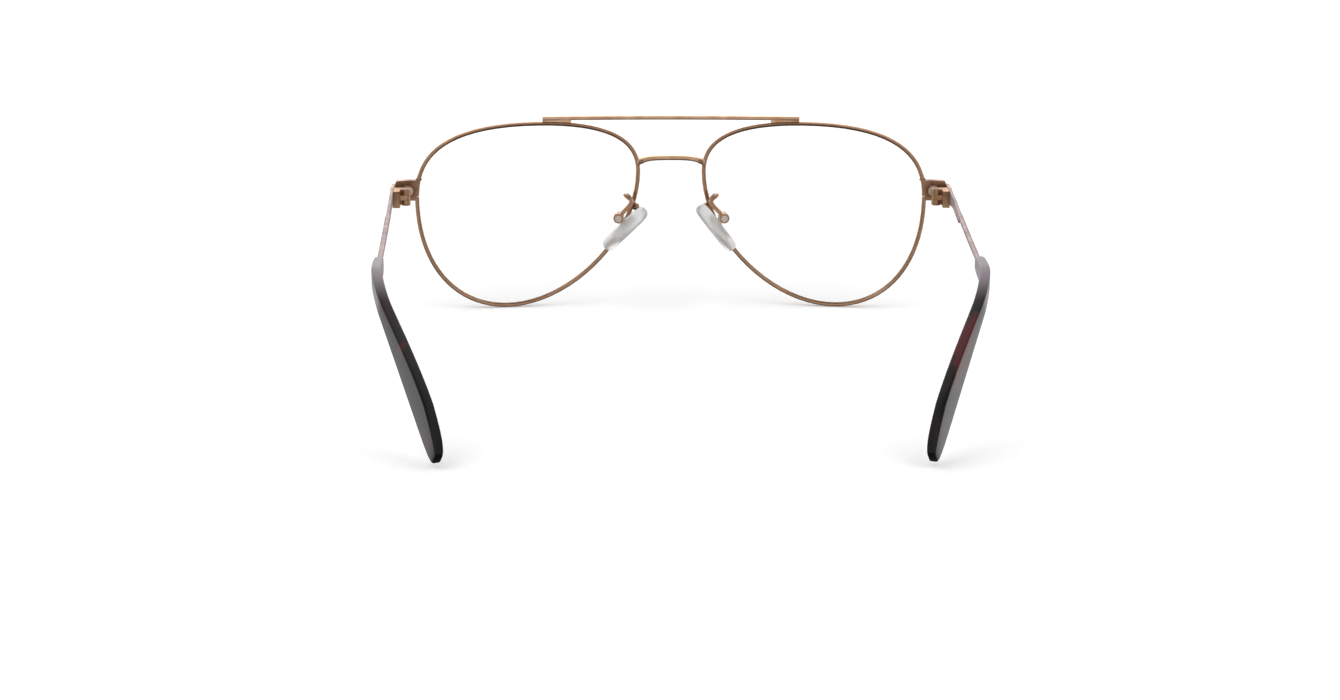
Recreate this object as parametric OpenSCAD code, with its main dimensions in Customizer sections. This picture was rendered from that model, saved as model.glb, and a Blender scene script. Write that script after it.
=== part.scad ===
// Aviator eyeglass frame in metal wire, with a double bridge and magnet end pieces.
// X points to the wearer's left, Y back along the temples, Z up. The open frame stands
// on its rims and temple tips, with the origin under the middle of its outline.

/* [Lenses] */
// Boxed width of one lens
lens_w = 56.2; // [50:0.1:60]
// Boxed height of one lens
lens_h = 46.3; // [40:0.1:50]
// Thickness of a lens
lens_t = 1; // [0.8:0.1:1.6]
// Gap between the two lenses over the nose
nose_gap = 17.1; // [15:0.1:21]
// Radius of the curve that lenses and rims follow
curve_r = 132; // [100:1:260]
// Tilt that brings the lens bottoms toward the cheeks, in degrees
face_tilt = 7; // [3:0.5:10]
// Turn that brings the outer sides back, in degrees
face_wrap = 4; // [2:0.5:6]

/* [Rims and bridges] */
// Thickness of the rim wire across the lens edge
rim_t = 1; // [0.9:0.05:1.4]
// Depth of the rim wire, front to back
rim_d = 1.6; // [1.5:0.1:2.4]
// Depth of the groove that holds the lens
groove = 0.5; // [0.3:0.05:0.6]
// Height of the lower bridge
bridge_h = 1.2; // [0.8:0.05:2]
// Depth of the lower bridge, front to back
bridge_d = 1.9; // [1.2:0.1:2.4]
// Rise of the lower bridge at its middle
bridge_rise = 0.8; // [0.2:0.05:2]
// Length of the brow bar
bar_l = 65.3; // [62:0.1:66]
// Height of the brow bar
bar_h = 1; // [0.8:0.05:1.6]
// Depth of the brow bar, front to back
bar_d = 1.4; // [1:0.1:1.8]
// How far the middle of the bars stands in front of their ends
bar_bow = 1.2; // [0.6:0.1:2.5]

/* [End pieces] */
// Width of the frame across the end pieces
frame_w = 141.4; // [140:0.1:146]
// Height of an end piece at the rim
lug_h = 5.3; // [5:0.1:6]
// Thickness of an end piece at the rim
lug_t = 1.6; // [1.4:0.1:2.4]
// How far an end piece turns back to meet its temple
lug_back = 6.15; // [5.8:0.05:8]
// Height of the lock block under an end piece
lock_h = 0.95; // [0.8:0.05:1.2]
// Diameter of the lens lock screw
lock_screw_d = 0.8; // [0.7:0.05:1]
// Diameter of the round magnet that holds a clip-on
magnet_d = 2.8; // [2:0.1:2.8]

/* [Hinges] */
// Diameter of the hinge knuckles
knuckle_d = 2.1; // [1.9:0.05:2.4]
// Height of the three knuckles together
hinge_h = 4; // [3.2:0.1:4.4]
// Distance of the hinge screw inside the temple
hinge_in = 3.05; // [2.5:0.05:3.4]
// Diameter of the hinge screw
hinge_screw_d = 1.1; // [0.9:0.05:1.2]

/* [Temples] */
// Thickness of a temple plate
arm_t = 0.8; // [0.7:0.05:1.5]
// Height of the temple plate behind the hinge
plate_h = 3.8; // [3.4:0.1:4.6]
// Height of the temple plate at its other end
plate_end_h = 2.6; // [2:0.1:4]
// Length of the temple plate
plate_l = 30; // [20:1:40]
// Diameter of the round temple rod
rod_d = 1.3; // [1.1:0.05:2]
// Length of a temple from the hinge to the middle of its bend
bend_at = 94.6; // [88:0.5:102]
// Length of a temple from the bend to its end
drop_l = 45.7; // [40:0.1:52]
// Angle of the drop behind the ear, in degrees
drop_angle = 44.3; // [35:0.1:50]
// How far a temple comes in from the hinge to the bend
arm_lean = 4.65; // [2:0.05:8]
// How far a temple comes in from the bend to its end
drop_lean = 14.8; // [8:0.1:18]
// Length of a temple tip before the bend
cover_l = 17.9; // [16:0.1:30]
// Thickness of a temple tip
tip_t = 2.3; // [2.2:0.1:3.2]
// Height of a temple tip where it starts
tip_h = 3.7; // [3.4:0.1:5]
// Height of a temple tip at its widest place, near its end
tip_end_h = 7.4; // [6:0.1:8.4]

/* [Nose pads] */
// Length of a nose pad
pad_l = 14.5; // [11:0.5:15]
// Width of a nose pad
pad_w = 7.6; // [6:0.1:8]
// Thickness of a nose pad
pad_t = 3.3; // [2.4:0.1:3.6]
// Angle of a nose pad below level, seen from behind, in degrees
pad_lean = 48; // [35:1:60]
// Turn that opens the pads toward the face, in degrees
pad_splay = 4; // [0:1:20]
// Diameter of a pad box
pad_box_d = 2.6; // [2.5:0.05:3]
// Diameter of a pad screw
pad_screw_d = 1; // [0.8:0.05:1.1]
// Diameter of the pad arm wire
pad_wire_d = 1.1; // [0.9:0.05:1.3]

/* [Hidden] */

// Gap that a brazed or glued joint leaves
seat = 0.02;
// Gap around what turns or is screwed
run = 0.03;
// Steps round a drilled hole or pin
round_fn = 48;
// Steps round the spheres that a lens is cut from
lens_fn = 240;
// Depth of a screwdriver slot, and its width
slot_depth = 0.2;
slot_w = 0.22;

// Rose-gold plate, bare nickel, pale silicone and dark acetate
gold = [0.72, 0.52, 0.42];
steel = [0.8, 0.79, 0.76];
silicone = [0.9, 0.91, 0.9, 0.7];
acetate = [0.12, 0.08, 0.09];
glass = [0.85, 0.9, 0.95, 0.35];

// Point of a cubic curve, and the direction in which it runs
function curve(c, t) =
  pow(1 - t, 3) * c[0] + 3 * pow(1 - t, 2) * t * c[1]
  + 3 * (1 - t) * t * t * c[2] + pow(t, 3) * c[3];
function heading(c, t) =
  pow(1 - t, 2) * (c[1] - c[0]) + 2 * (1 - t) * t * (c[2] - c[1]) + t * t * (c[3] - c[2]);
function unit(v) = v / norm(v);
function flat(rows) = [for (row = rows) for (p = row) p];
// Eases from 0 to 1 with level ends
function ease(t) = let (k = max(0, min(1, t))) k * k * (3 - 2 * k);

// A skin through rings of equal size, with two flat ends
module skin(rings) {
  n = len(rings[0]);
  m = len(rings);
  sides = [
    for (i = [0 : m - 2]) for (j = [0 : n - 1])
      let (a = i * n, b = (i + 1) * n, k = (j + 1) % n)
        each [[a + j, a + k, b + k], [a + j, b + k, b + j]]
  ];
  ends = [
    [for (j = [n - 1 : -1 : 0]) j],
    [for (j = [0 : n - 1]) (m - 1) * n + j]
  ];
  polyhedron(points = flat(rings), faces = concat(sides, ends), convexity = 6);
}

// A rectangle of width w between heights low and high, with each corner rounded in three points
function bar_section(w, low, high, r) = [
  for (c = [[1, 1, 0], [-1, 1, 90], [-1, -1, 180], [1, -1, 270]]) for (a = [0, 45, 90])
    [c.x * (w / 2 - r) + r * cos(c.z + a), (c.y > 0 ? high - r : low + r) + r * sin(c.z + a)]
];

// Lens outline in the lens plane: x runs outward, the second value up. The four
// extreme points are fractions of the half sizes, and each quarter runs level at
// one end and upright at the other.
top_at = -0.15;
bottom_at = 0.2;
outer_at = 0.192;
inner_at = 0.474;
outer_knot = [lens_w / 2, outer_at * lens_h / 2];
bottom_knot = [bottom_at * lens_w / 2, -lens_h / 2];
inner_knot = [-lens_w / 2, inner_at * lens_h / 2];
top_knot = [top_at * lens_w / 2, lens_h / 2];
function upright_first(a, b, ra, rb) =
  [a, [a.x, a.y + ra * (b.y - a.y)], [b.x + rb * (a.x - b.x), b.y], b];
function level_first(a, b, ra, rb) =
  [a, [a.x + ra * (b.x - a.x), a.y], [b.x, b.y + rb * (a.y - b.y)], b];
quarters = [
  upright_first(outer_knot, bottom_knot, 0.578, 0.621),
  level_first(bottom_knot, inner_knot, 0.492, 0.481),
  upright_first(inner_knot, top_knot, 0.447, 0.883),
  level_first(top_knot, outer_knot, 0.911, 0.428)
];
// The outline goes round once as u runs from 0 to 4, and r moves it outward
function on_outline(u, r) =
  let (q = quarters[floor(u) % 4], t = u - floor(u), h = unit(heading(q, t)))
    curve(q, t) + r * [-h.y, h.x];
// Depth of the lens curve at a place on the lens
function sag(p) = curve_r - sqrt(curve_r * curve_r - p * p);
// Point of the rim: r outward from the lens edge, d behind the middle of the lens
function rim_local(u, r, d) =
  let (p = on_outline(u, r)) [p.x, sag(p) + d, p.y];
function turned(p) =
  let (
    x = p.x * cos(face_wrap) - p.y * sin(face_wrap),
    y = p.x * sin(face_wrap) + p.y * cos(face_wrap)
  )
    [x, y * cos(face_tilt) - p.z * sin(face_tilt), y * sin(face_tilt) + p.z * cos(face_tilt)];

// The rim is cut where the lock block meets the end piece
split_u = 3.979;
split_gap = 0.003;
ring_count = 84;
function rim_u(i) = split_u + split_gap + i * (4 - 2 * split_gap) / (ring_count - 1);

// Heights are measured from the line of the temple rods
lug_top = 1.3;
lug_low = lug_top - lug_h;
split_z = lug_low + lock_h;
lens_at = [
  nose_gap / 2 + lens_w / 2, 0, split_z - turned(rim_local(split_u, rim_t / 2, 0)).z
];
function rim_at(u, r, d) = lens_at + turned(rim_local(u, r, d));

// Section of the rim wire: the groove side has two lips, and the outside is rounded
groove_w = lens_t + 0.1;
lip = (rim_d - groove_w) / 2;
rim_out = rim_t - groove + run + seat;
function rim_section(u) = [
  for (p = [
    [-groove + 0.05, groove_w / 2], [-groove + 0.05, rim_d / 2 - lip / 2],
    [-groove + 0.2, rim_d / 2], [rim_out - 0.35, rim_d / 2], [rim_out - 0.07, rim_d * 0.28],
    [rim_out, 0],
    [rim_out - 0.07, -rim_d * 0.28], [rim_out - 0.35, -rim_d / 2], [-groove + 0.2, -rim_d / 2],
    [-groove + 0.05, -rim_d / 2 + lip / 2], [-groove + 0.05, -groove_w / 2],
    [run + seat, -groove_w / 2], [run + seat, groove_w / 2]
  ])
    rim_at(u, p.x, -p.y)
];
// The same wire without its groove and a little thicker, to cut seats for what is brazed on
function seat_section(u) = [
  for (p = [
    [-groove, rim_d / 2 + seat], [rim_out - 0.35, rim_d / 2 + seat],
    [rim_out - 0.07 + seat, rim_d * 0.28 + seat], [rim_out + seat, 0],
    [rim_out - 0.07 + seat, -rim_d * 0.28 - seat], [rim_out - 0.35, -rim_d / 2 - seat],
    [-groove, -rim_d / 2 - seat]
  ])
    rim_at(u, p.x, -p.y)
];
module rim_seat(from, to) {
  steps = ceil((to - from) * (ring_count - 1) / 4);
  skin([for (i = [0 : steps]) seat_section(from + i * (to - from) / steps)]);
}

module rim() {
  color(gold)
    skin([for (i = [0 : ring_count - 1]) rim_section(rim_u(i))]);
}

module lens() {
  color(glass)
    translate(lens_at) rotate([face_tilt, 0, 0]) rotate([0, 0, face_wrap])
      intersection() {
        rotate([90, 0, 0])
          linear_extrude(height = lens_w, center = true)
            polygon([for (i = [0 : ring_count - 1]) on_outline(rim_u(i), 0)]);
        translate([0, curve_r, 0])
          difference() {
            sphere(r = curve_r + lens_t / 2, $fn = lens_fn);
            sphere(r = curve_r - lens_t / 2, $fn = lens_fn);
          }
      }
}

// Lower bridge, between the noseward sides of the rims
bridge_u = 2.148;
bridge_end = rim_at(bridge_u, rim_out, 0);
bridge_steps = 16;
module bridge() {
  reach = bridge_end.x + rim_t / 2;
  color(gold)
    difference() {
      skin([
        for (i = [0 : bridge_steps])
          let (k = 2 * i / bridge_steps - 1, flare = 0.6 * pow(k, 6))
            [
              for (p = bar_section(bridge_d, -bridge_h / 2 - flare, bridge_h / 2 + flare / 5, 0.35))
                [
                  -k * reach,
                  bridge_end.y - bar_bow * (1 - k * k) + p.x,
                  bridge_end.z + bridge_rise * (1 - pow(k, 4)) + p.y
                ]
            ]
      ]);
      for (side = [0, 1])
        mirror([side, 0, 0])
          rim_seat(1.85, 2.45);
    }
}

// Brow bar, on a foot at each end that is brazed to the top of the rim
foot_from = 2.88;
foot_to = 2.99;
foot_steps = 6;
bar_foot = rim_at(foot_to, rim_out, 0);
bar_mid = max([for (i = [0 : 20]) rim_at(2.7 + i * 0.03, rim_out, 0).z]) + 0.35 + bar_h / 2;
bar_steps = 14;
function bar_y(x) = bar_foot.y - bar_bow * (1 - pow(2 * x / bar_l, 2));
module brow_bar() {
  color(gold)
    difference() {
      union() {
        skin([
          for (i = [0 : bar_steps])
            let (x = bar_l / 2 - i * bar_l / bar_steps)
              [
                for (p = bar_section(bar_d, -bar_h / 2, bar_h / 2, 0.3))
                  [x, bar_y(x) + p.x, bar_mid + p.y]
              ]
        ]);
        for (side = [0, 1])
          mirror([side, 0, 0])
            skin([
              for (i = [0 : foot_steps])
                let (
                  u = foot_to + i * (foot_from - foot_to) / foot_steps,
                  low = rim_at(u, rim_out - 0.3, 0),
                  x = i == 0 ? bar_l / 2 : low.x,
                  w = bar_d - 0.3
                )
                  [
                    [x, low.y - w / 2, low.z], [x, low.y + w / 2, low.z],
                    [x, bar_y(x) + w / 2, bar_mid], [x, bar_y(x) - w / 2, bar_mid]
                  ]
            ]);
      }
      for (side = [0, 1])
        mirror([side, 0, 0])
          rim_seat(foot_from - 0.1, foot_to + 0.1);
    }
}

// End piece: a lug that starts on the rim, carries the magnet and turns back to the temple.
// The corner always clears the lock screw, and the side behind it ends at the frame width.
edge = 0.4;
magnet_t = lug_t + 0.1;
lock_screw_l = lock_h + 1.8;
lock_head_d = lock_screw_d + 0.4;
lock_head_h = 0.35;
rim_side = rim_at(split_u, rim_out, 0);
lug_y = rim_side.y - lug_t / 2;
magnet_at = [rim_side.x + edge + magnet_d / 2, lug_y, split_z + 0.12 + magnet_d / 2];
lock_x = magnet_at.x + magnet_d / 2 + edge / 2 + lock_screw_d / 2;
lock_end = lock_x + lock_screw_d / 2 + edge;
outer_x = frame_w / 2;
inner_x = outer_x - arm_t;
corner_x = max(outer_x, lock_end + 0.9);
joint_y = lug_y + lug_back;
leaf_d = 2.3;
leaf_gap = 0.12;
leaf_y = joint_y - leaf_gap - leaf_d;
// Heights at the corner and behind it
lug_end_top = 1;
side_top = 0.15;
side_low = lug_low + 0.35;
// The front plate: seen from above it has a round outer corner. Seen from the front its
// rim side follows the middle of the wire, and its outer end is lower.
module lug_plan() {
  difference() {
    translate([rim_side.x - 2, lug_y])
      square([corner_x - rim_side.x + 2, lug_t]);
    translate([corner_x - lug_t, lug_y])
      difference() {
        translate([0, -seat])
          square([lug_t + seat, lug_t + seat]);
        translate([0, lug_t])
          circle(r = lug_t, $fn = round_fn);
      }
  }
}
module lug_front() {
  polygon(concat(
    [
      for (i = [0 : 4])
        let (p = rim_at(split_u + 0.02 - 0.0475 * i, 0, 0)) [p.x, p.z]
    ],
    [
      [rim_side.x + 1, lug_top], [corner_x - arm_t - 0.3, lug_end_top],
      [corner_x - arm_t, side_top + 0.05], [corner_x + 1, side_top + 0.05],
      [corner_x + 1, side_low], [corner_x - 2, lug_low], [rim_side.x, lug_low]
    ]
  ));
}
// The thin side starts inside the corner and runs back to the hinge
module lug_side() {
  translate([0, 0, side_low])
    linear_extrude(height = side_top - side_low)
      polygon([
        [corner_x - arm_t, lug_y + lug_t / 2], [corner_x - arm_t / 2, lug_y + lug_t / 2],
        [corner_x, lug_y + lug_t], [outer_x, leaf_y], [outer_x, joint_y - run],
        [inner_x, joint_y - run], [inner_x, leaf_y], [corner_x - arm_t, lug_y + lug_t]
      ]);
}
module lock_bore(d) {
  translate([lock_x, lug_y + lug_t / 2, lug_low - 1])
    cylinder(d = d, h = lock_screw_l + 1 + run, $fn = round_fn);
}
module end_piece() {
  color(gold)
    difference() {
      union() {
        intersection() {
          translate([0, 0, lug_low - 1])
            linear_extrude(height = lug_h + 2)
              lug_plan();
          translate([0, lug_y + 2 * lug_t, 0])
            rotate([90, 0, 0])
              linear_extrude(height = 3 * lug_t)
                lug_front();
        }
        lug_side();
      }
      translate([rim_side.x - 2, lug_y - 1, lug_low - 1])
        cube([lock_end + 0.1 - rim_side.x + 2, lug_t + 2, lock_h + 1 + seat]);
      translate([magnet_at.x, lug_y - 1, magnet_at.z])
        rotate([-90, 0, 0])
          cylinder(d = magnet_d + 2 * seat, h = lug_t + 2, $fn = round_fn);
      translate([magnet_at.x, lug_y + lug_t - 0.2, magnet_at.z])
        rotate([-90, 0, 0])
          cylinder(d = magnet_d + 0.3, h = 1, $fn = round_fn);
      lock_bore(lock_screw_d + 2 * run);
      rim_seat(3.4, split_u + 0.1);
    }
}

// The lower half of the rim lock, brazed to the lower end of the rim wire
module lock_block() {
  color(gold)
    difference() {
      translate([rim_side.x - 0.3, lug_y + 0.05, lug_low])
        cube([lock_end - rim_side.x + 0.3, lug_t - 0.1, lock_h - seat]);
      lock_bore(lock_screw_d + 2 * run);
      translate([lock_x, lug_y + lug_t / 2, lug_low - 1])
        cylinder(d = lock_head_d + 2 * run, h = 1 + lock_head_h + run, $fn = round_fn);
      rim_seat(split_u, split_u + 0.2);
    }
}

// A screw with its head at the origin and its shank along Z
module screw(d, l, head_d, head_h) {
  color(steel)
    difference() {
      union() {
        cylinder(d = head_d, h = head_h, $fn = round_fn);
        cylinder(d = d, h = l, $fn = round_fn);
      }
      translate([-head_d, -slot_w / 2, -1])
        cube([2 * head_d, slot_w, 1 + slot_depth]);
    }
}
module lock_screw() {
  translate([lock_x, lug_y + lug_t / 2, lug_low])
    screw(lock_screw_d, lock_screw_l, lock_head_d, lock_head_h);
}

module magnet() {
  color(steel)
    translate(magnet_at)
      rotate([-90, 0, 0])
        cylinder(d = magnet_d, h = magnet_t, $fn = round_fn);
}

// Hinge: two knuckles on the front leaf, and one between them on the temple leaf
axis_at = [inner_x - hinge_in, joint_y];
hinge_top = -0.1;
hinge_low = hinge_top - hinge_h;
knuckle_h = hinge_h / 3;
notch = 0.3;
head_d = hinge_screw_d + 0.5;
head_h = 0.4;
module hinge_bore(d) {
  translate([axis_at.x, axis_at.y, hinge_low - 1])
    cylinder(d = d, h = hinge_h + 2, $fn = round_fn);
}
module front_leaf() {
  color(gold)
    difference() {
      translate([0, 0, hinge_low])
        linear_extrude(height = hinge_h)
          union() {
            translate(axis_at)
              circle(d = knuckle_d, $fn = round_fn);
            polygon([
              axis_at + [-knuckle_d / 2, 0], [axis_at.x - knuckle_d / 2, leaf_y + 1],
              [axis_at.x - knuckle_d / 2 + 1, leaf_y], [inner_x - seat, leaf_y],
              [inner_x - seat, joint_y - leaf_gap], axis_at + [knuckle_d / 2, -leaf_gap],
              axis_at
            ]);
          }
      hinge_bore(hinge_screw_d + 2 * run);
      translate([axis_at.x, axis_at.y, hinge_low + knuckle_h])
        cylinder(d = knuckle_d + 2 * run + 0.1, h = knuckle_h, $fn = round_fn);
      translate([axis_at.x, axis_at.y, hinge_top - head_h + 0.1])
        cylinder(d = head_d + 2 * run, h = 1, $fn = round_fn);
    }
}
module hinge_screw() {
  translate([axis_at.x, axis_at.y, hinge_top + 0.1 + run])
    mirror([0, 0, 1])
      screw(hinge_screw_d, hinge_h, head_d, head_h);
}
temple_leaf_l = 2.9;
module temple_leaf() {
  leaf_x = axis_at.x + knuckle_d / 2 + notch;
  color(gold)
    difference() {
      union() {
        translate([leaf_x, joint_y + 0.1, hinge_low - 0.15])
          linear_extrude(height = hinge_h + 0.2)
            difference() {
              square([inner_x + seat - leaf_x, temple_leaf_l]);
              translate([-1, temple_leaf_l - 0.6])
                rotate(40)
                  square([2, 2]);
            }
        translate([0, 0, hinge_low + knuckle_h + run])
          linear_extrude(height = knuckle_h - 2 * run)
            union() {
              translate(axis_at)
                circle(d = knuckle_d, $fn = round_fn);
              translate([axis_at.x, joint_y + 0.1])
                square([leaf_x + 0.2 - axis_at.x, knuckle_d / 2 - 0.1]);
            }
      }
      hinge_bore(hinge_screw_d + 2 * run);
      skin([for (u = [0, 0.06, 0.12, 0.18]) across_temple(u, arm_section(u, seat))]);
    }
}

// Line of a temple: a long bowed reach, a bend behind the ear and a straight drop
arm_x = outer_x - arm_t / 2;
tip_in = arm_x - arm_lean;
drop_run = sqrt(drop_l * drop_l - drop_lean * drop_lean);
bend_point = [tip_in, joint_y + bend_at, 0];
drop_way = [-drop_lean, drop_run * cos(drop_angle), -drop_run * sin(drop_angle)] / drop_l;
end_point = bend_point + drop_l * drop_way;
bend_reach = 7;
// The reach leaves the hinge over one handle of its curve and meets the bend over another
start_handle = [-0.5, 8, 0];
end_handle = 45;
reach_way = [-0.04, 1, 0];
bend_start = bend_point - bend_reach * reach_way;
bend_end = bend_point + bend_reach * drop_way;
temple_parts = [
  [
    [arm_x, joint_y, 0], [arm_x, joint_y, 0] + start_handle,
    bend_start - end_handle * reach_way, bend_start
  ],
  [
    bend_start, bend_start + 0.55 * bend_reach * reach_way,
    bend_end - 0.55 * bend_reach * drop_way, bend_end
  ],
  [bend_end, bend_end + drop_way, end_point - drop_way, end_point]
];
function part_of(u) = min(2, floor(u));
function temple_at(u) = curve(temple_parts[part_of(u)], u - part_of(u));
function temple_way(u) = unit(heading(temple_parts[part_of(u)], u - part_of(u)));
// A section across the temple line: its first value runs outward and its second up
function across_temple(u, section) =
  let (way = temple_way(u), out = unit(cross(way, [0, 0, 1])), up = cross(out, way))
    [for (p = section) temple_at(u) + p.x * out + p.y * up];

// The plate is taller than the rod on its lower side: it tapers behind the hinge, and
// its end steps up to the rod
arm_top = rod_d / 2;
plate_low = side_top - plate_h;
taper_l = 16;
step_l = 3;
plate_r = 0.25;
function rod_part(u) = ease((temple_at(u).y - joint_y - plate_l) / step_l);
function taper_part(u) = ease((temple_at(u).y - joint_y) / taper_l);
function arm_low(u) =
  plate_low + (arm_top - plate_end_h - plate_low) * taper_part(u)
  + (plate_end_h - rod_d) * rod_part(u);
function arm_high(u) = side_top + (arm_top - side_top) * taper_part(u);
function arm_section(u, grow) =
  let (s = rod_part(u))
    bar_section(
      arm_t + (rod_d - arm_t) * s + 2 * grow, arm_low(u) - grow, arm_high(u) + grow,
      plate_r + (0.46 * rod_d - plate_r) * s + grow
    );
// Where the tip starts on the rod, and where the rod ends inside it
cover_u = 1 - (cover_l - bend_reach) / (3 * end_handle);
core_end = 2.8;
step_u = 0.5;
arm_stations = concat(
  [0.008], [for (i = [1 : 7]) i * 0.0625], [for (i = [0 : 9]) step_u - 0.004 + i * 0.0045],
  [for (i = [1 : 5]) 0.54 + i * (cover_u - 0.54) / 5],
  [for (i = [1 : 3]) cover_u + i * (1 - cover_u) / 3],
  [for (i = [1 : 6]) 1 + i / 6], [for (i = [1 : 3]) 2 + i * (core_end - 2) / 3]
);
module temple_arm() {
  color(gold)
    skin([for (u = arm_stations) across_temple(u, arm_section(u, 0))]);
}

// Temple tip: it starts as a blunt nose on the rod. Along the drop its back edge swells
// to a blunt corner and slants from there to the round end.
tip_steps = 34;
tip_span = 3 - cover_u;
function tip_scale(s) =
  let (nose = min(1, s / 0.035), last = max(0, (s - 0.86) / 0.14))
    (0.55 + 0.45 * sqrt(1 - pow(1 - nose, 2))) * sqrt(1.0004 - pow(last, 2.4));
tip_corner_at = 0.835;
function tip_back(s) =
  s < tip_corner_at
  ? tip_h / 2 + (tip_end_h - tip_h) * ease((s - 0.53) / (tip_corner_at - 0.53))
  : (tip_end_h - tip_h / 2) * (1 - 0.5 * (s - tip_corner_at) / (1 - tip_corner_at));
function tip_ring(s) =
  let (
    k = tip_scale(s),
    t = tip_t * sqrt(k),
    u = cover_u + tip_span * s,
    low = -tip_h / 2 * k,
    high = tip_back(s) * k
  )
    across_temple(min(2.9999, u), bar_section(t, low, high, min(high - low, t) * 0.17));
tip_rings = [for (i = [0 : tip_steps]) tip_ring((1 - cos(180 * i / tip_steps)) / 2)];
core_stations = concat([cover_u - 0.05], [for (u = arm_stations) if (u > cover_u) u]);
module temple_tip() {
  color(acetate)
    difference() {
      skin(tip_rings);
      skin([for (u = core_stations) across_temple(u, arm_section(u, seat))]);
    }
}

// Nose pad parts are drawn about the pad screw: X runs down the pad, Y back along the
// screw and Z away from the nose
pad_out = 4.8;
pad_back = 7;
pivot_at = [nose_gap / 2 + pad_out, pad_back, lens_at.z + 0.6];
// How far the middle of a pad sits below its screw
pad_drop = 0.8;
pad_under = pad_box_d / 2 + 0.25 + pad_t / 2;
box_l = 3.2;
tab_t = 1;
tab_r = 0.8;
pocket_r = 1;
module at_pad() {
  translate(pivot_at)
    rotate([0, pad_lean, 0])
      rotate([pad_splay, 0, 0])
        children();
}
module along_screw(y) {
  translate([0, y, 0])
    rotate([-90, 0, 0])
      children();
}
module pad_box() {
  color(gold)
    at_pad()
      difference() {
        along_screw(-box_l / 2)
          cylinder(d = pad_box_d, h = box_l, $fn = round_fn);
        translate([-pocket_r, -tab_t / 2 - run, -pad_box_d])
          cube([2 * pocket_r, tab_t + 2 * run, pad_box_d + pocket_r]);
        along_screw(-box_l)
          cylinder(d = pad_screw_d + 2 * run, h = 2 * box_l, $fn = round_fn);
      }
}
module pad_screw() {
  at_pad()
    translate([0, box_l / 2 + seat, 0])
      rotate([90, 0, 0])
        translate([0, 0, -0.4])
          screw(pad_screw_d, box_l + 0.4, pad_screw_d + 0.6, 0.4);
}
insert_l = 7;
insert_w = 3.4;
insert_t = 0.6;
module insert_form(grow) {
  translate([pad_drop, 0, -pad_under])
    linear_extrude(height = insert_t + 2 * grow, center = true)
      union() {
        square([insert_l - insert_w, insert_w + 2 * grow], center = true);
        for (x = [-1, 1])
          translate([x * (insert_l - insert_w) / 2, 0])
            circle(d = insert_w + 2 * grow, $fn = round_fn);
      }
  translate([-tab_r - grow, -tab_t / 2 - grow, -pad_under])
    cube([2 * tab_r + 2 * grow, tab_t + 2 * grow, pad_under]);
}
module pad_insert() {
  color(steel)
    at_pad()
      difference() {
        union() {
          insert_form(0);
          along_screw(-tab_t / 2)
            cylinder(r = tab_r, h = tab_t, $fn = round_fn);
        }
        along_screw(-tab_t)
          cylinder(d = pad_screw_d + 2 * run, h = 2 * tab_t, $fn = round_fn);
      }
}
// A flattened egg: the powers of sine and cosine set how square each outline is
function power(v, e) = sign(v) * pow(abs(v), e);
pad_round = 28;
pad_layers = 12;
pad_rings = [
  for (i = [0 : pad_layers])
    let (
      a = -88 + i * 176 / pad_layers,
      across = power(cos(a), 0.45),
      up = sin(a) * (0.85 + 0.15 * pow(sin(a), 2))
    )
      [
        for (j = [0 : pad_round - 1])
          let (b = -360 * j / pad_round, x = pad_l / 2 * power(cos(b), 0.75) * across)
            [
              pad_drop + x,
              pad_w / 2 * power(sin(b), 0.75) * across * (1 + 0.1 * x / pad_l),
              -pad_under + pad_t / 2 * up
            ]
      ]
];
module nose_pad() {
  color(silicone)
    at_pad()
      difference() {
        skin(pad_rings);
        insert_form(seat);
      }
}

// Pad arm: a wire soldered to the nose side of the rim. It crosses behind the rim, turns
// back in a tight loop and comes down to the box.
pad_arm_u = 1.825;
arm_root = rim_at(pad_arm_u, rim_out + 0.35, 0.3);
// How far the loop stands above the box, in from it and behind the lens, and where the
// wire turns down behind it
loop_up = 5.1;
loop_in = 1.8;
loop_back = 3.4;
loop_at = [pivot_at.x - loop_in, loop_back, pivot_at.z + loop_up];
turn_at = loop_at + [-1.4, 2.2, -1.1];
box_way = [cos(pad_lean), 0, -sin(pad_lean)];
box_side = pivot_at + [0, -0.5, 0] - (pad_box_d / 2 - 0.3) * box_way;
pad_arm_parts = [
  [arm_root, arm_root + [0.1, 0.8, 0.3], loop_at + [-0.9, -1.4, -0.3], loop_at],
  [loop_at, loop_at + [0.6, 1.1, 0.2], turn_at + [0.4, -0.5, 0.7], turn_at],
  [turn_at, turn_at + [-0.3, 0.4, -0.6], box_side - 1.6 * box_way, box_side]
];
wire_steps = 6;
function wire_ring(c, t) =
  let (way = unit(heading(c, t)), a = unit(cross(way, [1, 0, 0])), b = cross(a, way))
    [for (j = [0 : 7]) curve(c, t) + pad_wire_d / 2 * (cos(45 * j) * a + sin(45 * j) * b)];
module pad_arm() {
  color(gold)
    difference() {
      skin(concat(
        [wire_ring(pad_arm_parts[0], 0)],
        [for (part = pad_arm_parts) for (i = [1 : wire_steps]) wire_ring(part, i / wire_steps)]
      ));
      at_pad()
        along_screw(-box_l)
          cylinder(d = pad_box_d + 2 * seat, h = 2 * box_l, $fn = round_fn);
      rim_seat(pad_arm_u - 0.25, pad_arm_u + 0.25);
    }
}

// The frame stands on whichever of rims and tips reaches lower
rim_points = flat([for (i = [0 : ring_count - 1]) rim_section(rim_u(i))]);
tip_points = flat(tip_rings);
stand_z = -min(min([for (p = rim_points) p.z]), min([for (p = tip_points) p.z]));
front_y = bar_foot.y - bar_bow - bar_d / 2;
back_y = max([for (p = tip_points) p.y]);
module left() {
  translate([0, -(front_y + back_y) / 2, stand_z])
    children();
}
module right() {
  left()
    mirror([1, 0, 0])
      children();
}

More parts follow.
